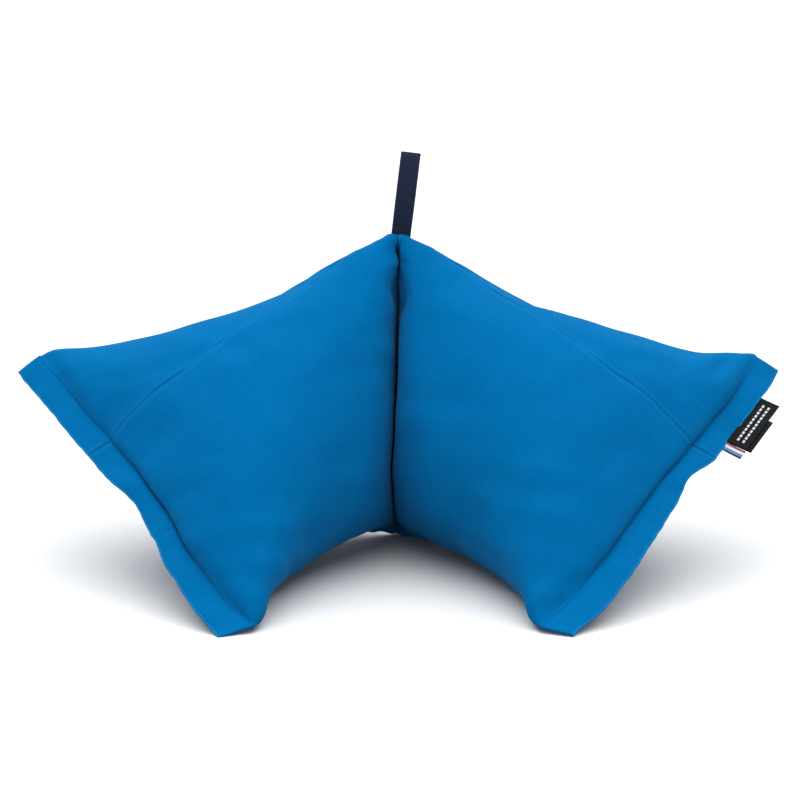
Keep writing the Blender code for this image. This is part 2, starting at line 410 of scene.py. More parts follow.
def cloth_uv(tree):
    """The piece's own flat map, in metres, and its parts across and along."""
    uv = add_node(tree, "ShaderNodeUVMap", uv_map="cloth").outputs[0]
    split = add_node(tree, "ShaderNodeSeparateXYZ", {"Vector": uv})
    return uv, split.outputs["X"], split.outputs["Y"]


def thread_checks(tree, across, along, spacing):
    """Heights of a plain weave: a thread lies over the one it crosses, then under the next."""
    waves = [
        math_node(tree, "SINE", math_node(tree, "MULTIPLY", way, math.pi / spacing))
        for way in (across, along)
    ]
    return math_node(tree, "MULTIPLY", *waves)


def slubs(tree, uv, along, across):
    """Streaks of thicker and thinner yarn, along metres long and across metres wide."""
    scale = (1 / along, 1 / across, 1.0)
    place = add_node(tree, "ShaderNodeMapping", {"Vector": uv, "Scale": scale}).outputs[0]
    inputs = {"Vector": place, "Scale": 1.0, "Detail": 2.0}
    return add_node(tree, "ShaderNodeTexNoise", inputs).outputs[0]


def cotton_canvas_material():
    """Piece-dyed cotton canvas, a heavy plain weave: matt and dry, with uneven yarn and a faint
    fuzz that lights up at its outline. The seams' lips and the hem's edge get a painted highlight, a paler
    colour where they catch the light."""
    own = settings().canvas
    material, tree, shader = start_material("piece_dyed_cotton_canvas")
    uv, across, along = cloth_uv(tree)
    weave = thread_checks(tree, across, along, own.thread_spacing)
    yarn = math_node(tree, "ADD", slubs(tree, uv, 0.030, 0.0011), slubs(tree, uv, 0.0011, 0.022))
    place = add_node(tree, "ShaderNodeTexCoord").outputs["Object"]
    # Dye takes a little unevenly over a hand's width
    cloud = add_node(tree, "ShaderNodeTexNoise", {"Vector": place, "Scale": 16.0, "Detail": 3.0})
    uneven = math_node(tree, "MULTIPLY_ADD", cloud.outputs[0], 0.8, yarn)
    level = stretched(tree, uneven, 1.0, 1.8)
    dyed = mixed(tree, level, toned(own.colour, 0.90), toned(own.colour, 1.10))
    # Painted highlight: a paler blue is mixed in on the seams' lips and the hem's edge, where they catch
    # the light
    painted_highlight = add_node(tree, "ShaderNodeAttribute", attribute_name="painted_highlight").outputs["Fac"]
    highlighted = mixed(tree, painted_highlight, dyed, linear("#1F75AE"))
    tree.links.new(highlighted, shader.inputs["Base Color"])
    threads = bumped(tree, weave, 0.25, 0.00016)
    tree.links.new(bumped(tree, yarn, 0.5, 0.00035, Normal=threads), shader.inputs["Normal"])
    shader.inputs["Roughness"].default_value = 0.92
    shader.inputs["Specular IOR Level"].default_value = 0.01
    shader.inputs["Sheen Weight"].default_value = 0.07
    shader.inputs["Sheen Roughness"].default_value = 0.45
    shader.inputs["Sheen Tint"].default_value = (*linear("#8CC8E0"), 1.0)
    return material


def sewing_thread_material():
    """Corespun polyester thread, dyed to the canvas: a tight two-ply twist with a slight shine."""
    colour = settings().canvas.colour
    material, tree, shader = start_material("corespun_sewing_thread")
    place = add_node(tree, "ShaderNodeTexCoord").outputs["Object"]
    inputs = {"Vector": place, "Scale": 2600.0, "Detail": 1.0}
    plies = add_node(tree, "ShaderNodeTexNoise", inputs).outputs[0]
    tone = mixed(tree, plies, toned(colour, 0.75), toned(colour, 1.25))
    tree.links.new(tone, shader.inputs["Base Color"])
    tree.links.new(bumped(tree, plies, 0.5, 0.0001), shader.inputs["Normal"])
    shader.inputs["Roughness"].default_value = 0.60
    shader.inputs["Specular IOR Level"].default_value = 0.06
    return material


def webbing_material():
    """Navy cotton-look polyester webbing: fine cross ribs in four leaning columns, like
    a herringbone, and a denser selvedge along both sides."""
    own = settings().loop
    material, tree, shader = start_material("navy_herringbone_webbing")
    uv, across, along = cloth_uv(tree)
    # Four leaning columns of ribs across the 20 mm band: a 5 mm zigzag
    lean = math_node(tree, "ADD", math_node(tree, "PINGPONG", across, LOOP_WIDTH / 8), along)
    turn = math_node(tree, "MULTIPLY", lean, 2 * math.pi / own.rib_spacing)
    fuzz = slubs(tree, uv, 0.0012, 0.006)
    tone = math_node(tree, "MULTIPLY_ADD", math_node(tree, "SINE", turn), 0.18, fuzz)
    level = stretched(tree, tone, 0.2, 0.8)
    yarn = mixed(tree, level, toned(own.colour, 0.72), toned(own.colour, 1.30))
    tree.links.new(yarn, shader.inputs["Base Color"])
    tree.links.new(bumped(tree, tone, 0.6, 0.0004), shader.inputs["Normal"])
    shader.inputs["Roughness"].default_value = 0.78
    shader.inputs["Specular IOR Level"].default_value = 0.20
    shader.inputs["Sheen Weight"].default_value = 0.05
    return material


def dash_marks(tree, across, along):
    """1 on the side label's rows of dashes and 0 beside them."""
    own = settings().labels
    rows = []
    for row in own.dash_rows:
        off = math_node(tree, "ABSOLUTE", math_node(tree, "SUBTRACT", along, row))
        rows.append(math_node(tree, "LESS_THAN", off, own.dash_height / 2))
    beat = math_node(tree, "PINGPONG", across, own.dash_spacing / 2)
    dash = math_node(tree, "LESS_THAN", beat, own.dash_length / 2)
    from_middle = math_node(tree, "ABSOLUTE", across)
    whole = math_node(tree, "LESS_THAN", from_middle, SIDE_LABEL["length"] / 2 - DASH_MARGIN)
    dash = math_node(tree, "MULTIPLY", dash, whole)
    return math_node(tree, "MULTIPLY", math_node(tree, "MAXIMUM", *rows), dash)


def label_material(name, dashes):
    """Black polyester satin label, woven edge to edge: fine weft lines with a soft gloss. Where
    dashes is true it has two rows of plain even dashes, brocaded in white yarn."""
    own = settings().labels
    material, tree, shader = start_material(name)
    uv, across, along = cloth_uv(tree)
    height = weft = slubs(tree, uv, 0.010, 0.0006)
    colour = mixed(tree, weft, toned(own.label_colour, 0.6), toned(own.label_colour, 1.6))
    if dashes:
        marks = dash_marks(tree, across, along)
        colour = mixed(tree, marks, colour, own.dash_colour)
        height = math_node(tree, "MULTIPLY_ADD", marks, 1.5, weft)
    tree.links.new(colour, shader.inputs["Base Color"])
    tree.links.new(bumped(tree, height, 0.5, 0.00012), shader.inputs["Normal"])
    shader.inputs["Roughness"].default_value = 0.55
    shader.inputs["Specular IOR Level"].default_value = 0.06
    return material


def striped_ribbon_material():
    """Grosgrain ribbon in dark red, white and blue with a navy edge: cross ribs that run over
    warp stripes, each stripe a few yarns wide."""
    own = settings().labels
    material, tree, shader = start_material("striped_grosgrain_ribbon")
    uv, across, along = cloth_uv(tree)
    share = stretched(tree, across, -RIBBON["length"] / 2, RIBBON["length"] / 2)
    stripes = add_node(tree, "ShaderNodeValToRGB", {"Fac": share})
    ramp = stripes.color_ramp
    ramp.interpolation = "CONSTANT"
    rows = (
        (0.00, own.ribbon_edge),
        (0.14, own.ribbon_blue),
        (0.44, own.ribbon_white),
        (0.72, own.ribbon_red),
        (0.96, own.ribbon_edge),
    )
    while len(ramp.elements) < len(rows):
        ramp.elements.new(0.5)
    for element, (start, colour) in zip(ramp.elements, rows):
        element.position = start
        element.color = (*colour, 1.0)
    # Real ribs are 0.4 mm apart; 0.7 mm is as fine as shows
    ribs = thread_checks(tree, across, along, 0.0007)
    tone = stretched(tree, slubs(tree, uv, 0.0008, 0.004), 0.2, 0.8, 0.80, 1.1)
    yarn = mixed(tree, 1.0, stripes.outputs[0], tone, blend_type="MULTIPLY")
    tree.links.new(yarn, shader.inputs["Base Color"])
    tree.links.new(bumped(tree, ribs, 0.5, 0.0002), shader.inputs["Normal"])
    shader.inputs["Roughness"].default_value = 0.6
    shader.inputs["Specular IOR Level"].default_value = 0.3
    return material


def studio_floor_material():
    """Matt white studio paper: even, with hardly any grain."""
    material, tree, shader = start_material("matt_studio_paper")
    place = add_node(tree, "ShaderNodeTexCoord").outputs["Object"]
    grain = add_node(tree, "ShaderNodeTexNoise", {"Vector": place, "Scale": 400.0}).outputs[0]
    tree.links.new(bumped(tree, grain, 0.05, 0.0002), shader.inputs["Normal"])
    shader.inputs["Base Color"].default_value = (*settings().stage.floor_colour, 1.0)
    shader.inputs["Roughness"].default_value = 0.95
    shader.inputs["Specular IOR Level"].default_value = 0.05
    return material


def oval(half_height, half_thickness):
    """A closed oval as two rows of coordinates, from its top round by the camera side."""
    turn = np.linspace(0, 2 * math.pi, 721)
    power = 2 / SECTION_POWER
    high = half_height * np.sign(np.cos(turn)) * np.abs(np.cos(turn)) ** power
    wide = half_thickness * np.sign(np.sin(turn)) * np.abs(np.sin(turn)) ** power
    return high, wide


def oval_length(half_height, half_thickness):
    high, wide = oval(half_height, half_thickness)
    return float(np.hypot(np.diff(high), np.diff(wide)).sum())


def half_height_of(half_thickness, panel_width):
    """The half height at which an oval uses up both panels' width."""
    low, tall = panel_width * 0.2, panel_width * 0.5
    for _ in range(30):
        middle = (low + tall) / 2
        if oval_length(middle, half_thickness) > 2 * panel_width:
            tall = middle
        else:
            low = middle
    return low


def seam_turn(share):
    """How far round the section the top panel seam lies from the section's highest point."""
    return SEAM_TURN * ease(share, SEAM_TURN_START, SEAM_TURN_END)


def section(share):
    """One section of the right wing, at a share of the way from the spine to the stitching. Its
    points start on the top seam and go round by the camera side in even steps of cloth."""
    bulge = math.sin(math.pi * share)
    half_thickness = max(HALF_TWO_LAYERS, HALF_FULLNESS * bulge)
    panel_width = PANEL_WIDTH_AT_SPINE + (PANEL_WIDTH_AT_FLANGE - PANEL_WIDTH_AT_SPINE) * share
    gather = (PANEL_WIDTH_AT_SPINE - SPINE_HEIGHT) * math.exp(-share * WING_REACH / GATHER_REACH)
    high, wide = oval(half_height_of(half_thickness, panel_width - gather), half_thickness)
    walked = walk(np.hypot(np.diff(high), np.diff(wide)))
    stops = (np.arange(CLOTH_COLUMNS) / CLOTH_COLUMNS + seam_turn(share)) % 1.0 * walked[-1]
    high, wide = np.interp(stops, walked, high), np.interp(stops, walked, wide)

    along = WING_REACH * (share - FIRST_BULGE * math.sin(2 * math.pi * share) / (2 * math.pi))
    fan = ease(share, 0, FAN_END)
    normal = unit(np.array([1.0, 0.0, 0.0]) * (1 - fan) + WING_HEADING * fan)
    square = ease(share, SQUARE_START, 1)
    normal = unit(normal * (1 - square) + END_NORMAL * square)
    up, front = upright(normal)
    turn = FLANGE_TURN * ease(share, TURN_START, TURN_END)
    tall_way = up * math.cos(turn) - front * math.sin(turn)
    thick_way = front * math.cos(turn) + up * math.sin(turn)
    middle = SPINE_MIDDLE + WING_AXIS * along - (END_UP * SAG + END_FRONT * SET_BACK) * bulge
    points = middle + high[:, None] * tall_way + wide[:, None] * thick_way
    press = LOBE_PRESS * math.sin(math.pi * min(share / LOBE_END, 1.0))
    points[:, 0] -= press * np.maximum(wide / half_thickness, 0.0)
    return points


def table_value(table, share):
    """A table's second column at a share, eased between its rows."""
    shares = np.array([row[0] for row in table])
    values = np.array([row[1] for row in table])
    after = np.clip(np.searchsorted(shares, share), 1, len(shares) - 1)
    before = after - 1
    part = np.clip((share - shares[before]) / (shares[after] - shares[before]), 0, 1)
    part = part * part * (3 - 2 * part)
    return values[before] + (values[after] - values[before]) * part


def along_flange(points):
    """Each point's share of the flange's length, from its foot."""
    return np.clip((points - STITCH_MIDDLE) @ STITCH_UP / PANEL_WIDTH_AT_FLANGE + 0.5, 0, 1)


def keep_clear(points):
    """Keeps a right wing on its side of the crease and above the floor."""
    points[1:, :, 0] = np.maximum(points[1:, :, 0], CREASE_HALF_GAP)
    points[0, :, 0] = 0.0
    points[..., 2] = np.maximum(points[..., 2], 0.0)
    return points


def shape_lobe(points, wing):
    """Rounds the front lobe into the crease, and lifts and draws back its foot beside the spine."""
    beside, ahead, tall = points[..., 0], -points[..., 1], points[..., 2]
    front = ease(ahead, 0.0, 0.05)
    foot = np.maximum(0.0, 1 - tall / LOBE_LIFT_HEIGHT) ** 2
    meeting = LOBE_MEET * hump(beside, LOBE_MEET_REACH)
    lift = LOBE_LIFT * foot * (hump(beside, wing["lift_reach"]) - meeting)
    draw = LOBE_DRAW * ahead * hump(tall, LOBE_DRAW_HEIGHT) * hump(beside, LOBE_DRAW_REACH)
    radius = LOBE_RADIUS_LOW + (LOBE_RADIUS_HIGH - LOBE_RADIUS_LOW) * ease(tall, 0.06, 0.28)
    inside = np.clip(1 - (beside + LOBE_FLATTENED) / radius, 0.0, 1.0)
    valley = radius * (1 - np.sqrt(1 - inside**2)) * ease(ahead, 0.0, LOBE_ROUND_FROM)
    turned = wing["lobe_turn"] * np.maximum(0.0, 1 - beside / LOBE_TURN_REACH) ** 2
    turned = turned * (1 - ease(tall, 0.19, 0.28))
    points[..., 1] += front * (draw + turned) + valley
    points[..., 2] += front * lift
    return points


def waver_crease(points):
    """Moves both wings' points beside the crease, so that its line wavers, and bridges its top."""
    beside, tall = np.abs(points[..., 0]), points[..., 2]
    bridge = ease(tall, BRIDGE_FROM, BRIDGE_WHOLE)
    bridge = bridge * (1 - ease(beside, BRIDGE_REACH, 2 * BRIDGE_REACH))
    front = ease(-points[..., 1], -0.001, 0.001)
    rise = np.clip((tall - BRIDGE_WHOLE) / (BRIDGE_TOP - BRIDGE_WHOLE), 0.0, 1.0)
    rim = np.minimum(points[..., 1], -BRIDGE_FORWARD * np.sqrt(1 - BRIDGE_ROUNDING * rise**2))
    shift = table_value(CREASE_LINE, tall) * np.exp(-beside / CREASE_LINE_REACH)
    points[..., 0] += shift * ease(-points[..., 1], 0.0, 0.03)
    points[..., 1] += (rim - points[..., 1]) * bridge * front
    points[..., 2] += BRIDGE_UP * bridge
    return points


def loft(wing):
    """A wing as rows of points from the spine to the flange stitching, as if it were the right one."""
    shares = np.linspace(0, 1, CLOTH_ROWS + 1)
    rows = shape_lobe(keep_clear(np.array([section(share) for share in shares])), wing)
    places = along_flange(rows)
    near = ease(shares, STITCH_SHIFT_START, 1.0)[:, None]
    rows += (near * table_value(wing["stitch"], places))[..., None] * FLANGE_OUT
    rows += (near * ease(places, FLANGE_TIP, 1.0) * wing["stitch_top"])[..., None] * STITCH_UP
    columns = np.arange(CLOTH_COLUMNS) / CLOTH_COLUMNS
    for row, share in zip(rows, shares):
        from_top = off_top(columns + seam_turn(share)) * 2 * PANEL_WIDTH_AT_FLANGE
        row[:, 2] += table_value(wing["crown"], np.array([share]))[0] * hump(from_top, CROWN_REACH)
    return keep_clear(rows)


def wing_faces(row_starts, columns, mirrored):
    """Quads between rows of points, each row given by the number of its first point."""
    low = np.array(row_starts[:-1])[:, None]
    high = np.array(row_starts[1:])[:, None]
    step = np.arange(columns)[None, :]
    following = (step + 1) % columns
    quads = np.stack([low + step, low + following, high + following, high + step], axis=-1)
    quads = quads.reshape(-1, 4)
    return quads[:, ::-1] if mirrored else quads


def joined_rows(rows, columns):
    """The first point of each row of both wings, which share the row at the spine."""
    right = [row * columns for row in range(rows + 1)]
    left = [0] + [(rows + row) * columns for row in range(1, rows + 1)]
    return right, left


def mirror(points):
    return points * np.array([-1.0, 1.0, 1.0])


def calm(move):
    """Evens out the cloth's moves, so that its swells stay and its smallest ripples go."""
    for _ in range(CALMING_PASSES):
        move = (np.roll(move, 1, axis=1) + 2 * move + np.roll(move, -1, axis=1)) / 4
        move[1:-1] = (move[:-2] + 2 * move[1:-1] + move[2:]) / 4
    return move


def fill_with_cloth(right, left):
    """Blows the cover up a little with Blender's cloth, held at the spine and the flanges, so
    that it takes natural swells and gathers. Returns both wings' points."""
    count = CLOTH_COLUMNS
    starts = joined_rows(CLOTH_ROWS, count)
    points = np.concatenate([right.reshape(-1, 3), mirror(left[1:]).reshape(-1, 3)])
    faces = np.concatenate([wing_faces(starts[0], count, False), wing_faces(starts[1], count, True)])
    mesh = bpy.data.meshes.new("cover_cloth")
    mesh.from_pydata(points.tolist(), [], faces.tolist())
    cover = bpy.data.objects.new("cover_cloth", mesh)
    bpy.context.scene.collection.objects.link(cover)
    held = cover.vertex_groups.new(name="held")
    for start in (0, starts[0][-1], starts[1][-1]):
        held.add(list(range(start, start + count)), 1.0, "REPLACE")

    cloth = cover.modifiers.new("Cloth", "CLOTH")
    fabric = cloth.settings
    fabric.quality = 5
    fabric.mass = 0.3
    fabric.tension_stiffness = fabric.compression_stiffness = 15
    fabric.shear_stiffness = 5
    fabric.bending_stiffness = 0.5
    fabric.tension_damping = fabric.compression_damping = fabric.shear_damping = 5
    fabric.bending_damping = 0.5
    fabric.use_pressure = True
    fabric.uniform_pressure_force = 4
    fabric.shrink_min = -0.02
    fabric.vertex_group_mass = "held"
    fabric.pin_stiffness = 50
    fabric.effector_weights.gravity = 0
    cloth.collision_settings.use_collision = False
    cloth.collision_settings.use_self_collision = False
    cloth.point_cache.frame_start = 1
    cloth.point_cache.frame_end = CLOTH_FRAMES
    for number in range(1, CLOTH_FRAMES + 1):
        bpy.context.scene.frame_set(number)
    clear_selection()
    bpy.context.view_layer.objects.active = cover
    cover.select_set(True)
    bpy.ops.object.modifier_apply(modifier="Cloth")
    bpy.context.scene.frame_set(1)

    settled = np.empty(len(points) * 3)
    cover.data.vertices.foreach_get("co", settled)
    settled = settled.reshape(-1, 3)
    bpy.data.objects.remove(cover, do_unlink=True)
    whole = (CLOTH_ROWS + 1) * count
    wings = []
    for wing, moved in (
        (right, settled[:whole]),
        (left, np.concatenate([settled[:count], mirror(settled[whole:])])),
    ):
        move = calm(moved.reshape(CLOTH_ROWS + 1, count, 3) - wing)
        length = np.linalg.norm(move, axis=2, keepdims=True)
        wings.append(keep_clear(wing + move * np.minimum(1.0, LARGEST_MOVE / np.maximum(length, 1e-9))))
    return wings


def read_between(values, places):
    """Values at fractional places along the first axis, on smooth curves through them."""
    first = np.clip(np.floor(places).astype(int), 0, len(values) - 2)
    part = (places - first).reshape(-1, *[1] * (values.ndim - 1))
    before, low, high, after = (
        values[np.clip(first + step, 0, len(values) - 1)] for step in (-1, 0, 1, 2)
    )
    return (
        low
        + 0.5 * part * (high - before)
        + part**2 * (before - 2.5 * low + 2 * high - 0.5 * after)
        + part**3 * (1.5 * (low - high) + 0.5 * (after - before))
    )


def column_places():
    """Where the finished cover's columns lie, as a turn from the top seam: even steps, and finer
    ones beside both panel seams and, on the other layer, over against them."""
    even = np.arange(COVER_COLUMNS) / COVER_COLUMNS
    centres = (0.0, 0.5, 1 - 2 * SEAM_TURN, 0.5 - 2 * SEAM_TURN)
    finer = [(centre + step) % 1.0 for centre in centres for step in SEAM_COLUMN_STEPS]
    return np.sort(np.concatenate([even, finer]))


def row_places():
    """Where the finished cover's rows lie, from 0 at the spine to 1 at the flange stitching: finer
    at both ends, where the cloth is gathered."""
    even = np.linspace(0, 1, COVER_ROWS + 1)
    return even - FINER_NEAR_ENDS * np.sin(2 * math.pi * even) / (2 * math.pi)


def refine(points):
    """Reads a wing's cloth at the finished cover's rows and columns."""
    padded = np.concatenate([points[:, -2:], points, points[:, :3]], axis=1)
    across = read_between(padded.transpose(1, 0, 2), column_places() * CLOTH_COLUMNS + 2)
    return read_between(across.transpose(1, 0, 2), row_places() * CLOTH_ROWS)


def surface_normals(points):
    """The outward normals of a right wing's points."""
    along = np.gradient(points, axis=0)
    round_it = np.roll(points, -1, axis=1) - np.roll(points, 1, axis=1)
    return unit(np.cross(round_it, along) + 1e-12)


def cloth_lengths(points):
    """Metres of cloth from the spine to each row, on average."""
    steps = np.linalg.norm(np.diff(points, axis=0), axis=2).mean(axis=1)
    return walk(steps)


def dress(points, wing):
    """Presses seams, gathers, dents and the filling's unevenness into a wing's cloth."""
    own = settings().canvas
    seed = wing["seed"]
    turn = column_places()[None, :]
    share = row_places()[:, None]
    width = 2 * (PANEL_WIDTH_AT_SPINE + (PANEL_WIDTH_AT_FLANGE - PANEL_WIDTH_AT_SPINE) * share)
    along = cloth_lengths(points)[:, None]
    to_stitch = along[-1] - along
    places = along_flange(points)
    flange_place = places * FLANGE_LENGTH

    from_seam = off_seams(turn) * width
    pull = 1 + 0.25 * ripple(along, 0.013, seed)
    height = -own.seam_depth * hump(from_seam, SEAM_GROOVE) * pull
    height = height + 0.15 * own.seam_depth * hump(from_seam - SEAM_LIP_AT, SEAM_LIP) * pull
    height = height + 0.3 * own.pucker_depth * ripple(along, 0.022, seed + 1) * hump(from_seam, 0.010)

    gathers = 0.5 + 0.5 * ripple(flange_place, 0.016, seed + 2)
    fading = np.exp(-to_stitch / PUCKER_REACH)
    height = height - own.pucker_depth * gathers * fading * ease(to_stitch, 0, 0.006)
    folds = ripple(flange_place + 0.35 * to_stitch, 0.050, seed + 3)
    fading = np.exp(-to_stitch / FOLD_REACH)
    height = height + 1.2 * own.pucker_depth * folds * fading * ease(to_stitch, 0, 0.02)

    rising = (1 - np.exp(-to_stitch / ROLL_START)) * np.exp(-to_stitch / ROLL_REACH)
    facing = np.abs(np.sin(2 * math.pi * (turn + SEAM_TURN)))
    height = height + ROLL_HEIGHT * table_value(wing["roll"], places) * rising * facing

    lumps = ripple(along, 0.075, seed + 4) + ripple(turn * width, 0.085, seed + 5)
    lumps = lumps * ripple(along + turn * width, 0.12, seed + 6)
    height = height + own.lump_height * lumps * ease(to_stitch, 0.01, 0.06) * ease(along, 0.02, 0.08)

    for at_share, at_turn, reach_along, reach_round, dent in wing["dents"]:
        apart = off_top(turn - at_turn) * width
        off = (share - at_share) * along[-1]
        height = height + dent * hump(off, reach_along) * hump(apart, reach_round)

    height = height * ease(along, 0, 0.012)
    return keep_clear(points + surface_normals(points) * height[..., None])


def flange(stitched, wing):
    """The rows from the stitch line to the outer edge and round the hem's two lips."""
    seed = wing["seed"] + 20
    shares = along_flange(stitched)
    seam = STITCH_FOOT + (STITCH_TOP - STITCH_FOOT) * shares[:, None]
    lift = ((stitched - seam) @ FLANGE_NORMAL)[:, None]
    inner = stitched - lift * FLANGE_NORMAL
    place = shares * FLANGE_LENGTH
    reach = table_value(wing["edge"], shares) + 0.0003 * ripple(place, 0.020, seed)
    edge = FLANGE_FOOT + (FLANGE_TOP - FLANGE_FOOT) * shares[:, None] + reach[:, None] * FLANGE_OUT
    edge = edge + (wing["edge_top"] * ease(shares, FLANGE_TIP, 1.0))[:, None] * FLANGE_UP
    parted = table_value(wing["puff"], shares)[:, None]

    bend = 0.0011 * ripple(place, 0.070, seed + 1)
    for at_share, tall, half_width in wing["creases"]:
        off = np.abs(shares - at_share) * FLANGE_LENGTH
        bend = bend + tall * np.maximum(0.0, 1 - off / half_width)
    from_seam = off_seams(column_places()) * 2 * PANEL_WIDTH_AT_FLANGE
    pressed = 1 - 0.40 * hump(from_seam, 0.0008)[:, None]

    rows = []
    for station in FLANGE_STATIONS:
        puff = 1 + parted * math.sin(math.pi * min(station / TOPSTITCH_STATION, 1.0) ** 0.7)
        puff = puff * (1 - 0.5 * math.exp(-(((station - TOPSTITCH_STATION) / 0.02) ** 2)))
        puff = puff * (1 - 0.3 * ease(station, TOPSTITCH_STATION, 1.0))
        small = 0.0003 * ripple(place, 0.011, seed + 2)[:, None] * math.sin(math.pi * station)
        wave = (bend * ease(station, 0.0, 0.8))[:, None] + small
        full = lift / STITCH_PINCH * (STITCH_PINCH + (1 - STITCH_PINCH) * ease(station, 0.0, 0.13))
        rows.append(inner + (edge - inner) * station + (full * puff * pressed + wave) * FLANGE_NORMAL)
    for out, left_over in LIP_STATIONS:
        thick = lift / STITCH_PINCH * left_over
        rows.append(edge + out * FLANGE_OUT + (thick + bend[:, None]) * FLANGE_NORMAL)
    return np.array(rows)


def painted_highlight_of(points, rows_in_flange):
    """How much painted highlight each point gets: most on the hem's edge, a little along the seams' lips.
    """
    rows, columns = points.shape[:2]
    painted_highlight = np.zeros((rows, columns))
    first = rows - rows_in_flange
    from_seam = off_seams(column_places()) * 2 * PANEL_WIDTH_AT_FLANGE
    painted_highlight[:] = SEAM_HIGHLIGHT * hump(from_seam - SEAM_LIP_AT, SEAM_LIP)
    edge_row = first + len(FLANGE_STATIONS) - 1
    for row in range(first, rows):
        painted_highlight[row] += HEM_HIGHLIGHT * math.exp(-(((row - edge_row) / HEM_HIGHLIGHT_ROWS) ** 2))
    return painted_highlight


def finished_wings():
    """Both wings' finished points, from the spine's row to the inside of the hem's lips."""
    lofts = [loft(RIGHT_WING), loft(LEFT_WING)]
    lofts = fill_with_cloth(*lofts)
    wings = []
    for points, wing in zip(lofts, (RIGHT_WING, LEFT_WING)):
        cloth = dress(refine(points), wing)
        seam = STITCH_FOOT + (STITCH_TOP - STITCH_FOOT) * along_flange(cloth[-1])[:, None]
        lift = ((cloth[-1] - seam) @ FLANGE_NORMAL)[:, None]
        cloth[-1] -= (1 - STITCH_PINCH) * lift * FLANGE_NORMAL
        cloth = np.concatenate([cloth, flange(cloth[-1], wing)])
        cloth[..., 2] = np.maximum(cloth[..., 2], 0.0)
        wings.append(cloth)
    return wings


def cover_mesh(wings):
    """The closed cover: both wings share their row at the spine, and the lips close the hems."""
    rows, columns = wings[0].shape[0] - 1, wings[0].shape[1]
    starts = joined_rows(rows, columns)
    points = np.concatenate([wings[0].reshape(-1, 3), mirror(wings[1][1:]).reshape(-1, 3)])
    points = waver_crease(points) + SPINE_FOOT
    faces, corners = [], []
    turns = np.append(column_places(), 1.0)
    for wing, (row_starts, side) in zip(wings, ((starts[0], 1), (starts[1], -1))):
        quads = wing_faces(row_starts, columns, False)
        lengths = cloth_lengths(wing)
        across = turns * 2 * PANEL_WIDTH_AT_FLANGE
        u = np.stack([lengths[:-1], lengths[:-1], lengths[1:], lengths[1:]], axis=-1)
        v = np.stack([across[:-1], across[1:], across[1:], across[:-1]], axis=-1)
        uv = np.stack(np.broadcast_arrays(side * u[:, None, :], v[None, :, :]), axis=-1).reshape(-1, 4, 2)
        if side < 0:
            quads, uv = quads[:, ::-1], uv[:, ::-1]
        faces.append(quads)
        corners.append(uv)
    mesh = bpy.data.meshes.new("filled_canvas_cover")
    mesh.from_pydata(points.tolist(), [], np.concatenate(faces).tolist())
    layer = mesh.uv_layers.new(name="cloth")
    layer.data.foreach_set("uv", np.concatenate(corners).ravel())
    rows_in_flange = len(FLANGE_STATIONS) + len(LIP_STATIONS)
    # The painted highlight of both wings, kept on the points for the canvas's shader
    painted_highlight = [painted_highlight_of(wing, rows_in_flange) for wing in wings]
    painted_highlight = np.concatenate([painted_highlight[0].ravel(), painted_highlight[1][1:].ravel()])
    mesh.attributes.new("painted_highlight", "FLOAT", "POINT").data.foreach_set("value", painted_highlight)

    bm = bmesh.new()
    bm.from_mesh(mesh)
    bmesh.ops.remove_doubles(bm, verts=bm.verts, dist=0.00002)
    bmesh.ops.dissolve_degenerate(bm, edges=bm.edges, dist=0.000005)
    bmesh.ops.recalc_face_normals(bm, faces=bm.faces)
    bm.to_mesh(mesh)
    bm.free()
    mesh.shade_smooth()
    return mesh


def add_object(name, mesh, material):
    """Links a finished mesh, whose place is in its points, and gives it its material."""
    item = bpy.data.objects.new(name, mesh)
    bpy.context.scene.collection.objects.link(item)
    mesh.materials.append(material)
    return item


def place_mesh(mesh, offset):
    """Moves a mesh's points, so that its object stays at the origin."""
    points = np.empty(len(mesh.vertices) * 3)
    mesh.vertices.foreach_get("co", points)
    mesh.vertices.foreach_set("co", (points.reshape(-1, 3) + offset).ravel())


def model_stitch(length, thickness):
    """One lock stitch: a bit of thread that humps up between two needle holes.
    Returns its points and faces; it lies along X with its foot at Z = 0."""
    clear_selection()
    bpy.ops.mesh.primitive_cylinder_add(
        vertices=6, radius=thickness / 2, depth=length, rotation=(0, math.pi / 2, 0)
    )
    stitch = bpy.context.object
    bpy.ops.object.transform_apply(location=False, rotation=True, scale=True)
    bpy.ops.object.mode_set(mode="EDIT")
    bm = bmesh.from_edit_mesh(stitch.data)
    for edge in bm.edges:
        run = edge.verts[1].co - edge.verts[0].co
        edge.select_set(abs(run.x) > length / 2)
    bmesh.update_edit_mesh(stitch.data)
    bpy.ops.mesh.subdivide(number_cuts=2)
    for low, high, drop in ((-1.0, -0.45, -1), (0.45, 1.0, -1), (-0.45, 0.45, 1)):
        bpy.ops.mesh.select_all(action="DESELECT")
        bm = bmesh.from_edit_mesh(stitch.data)
        for vertex in bm.verts:
            vertex.select_set(low <= vertex.co.x / length <= high)
        bm.select_flush_mode()
        bmesh.update_edit_mesh(stitch.data)
        bpy.ops.transform.translate(value=(0, 0, drop * thickness * 0.28))
    bpy.ops.object.mode_set(mode="OBJECT")
    points = np.array([vertex.co[:] for vertex in stitch.data.vertices])
    faces = [list(face.vertices) for face in stitch.data.polygons]
    bpy.data.objects.remove(stitch, do_unlink=True)
    return points, faces


def read_along(stops, walked, values):
    """Points or directions at stops along a line, read between the line's own."""
    return np.stack([np.interp(stops, walked, values[:, i]) for i in range(3)], axis=1)


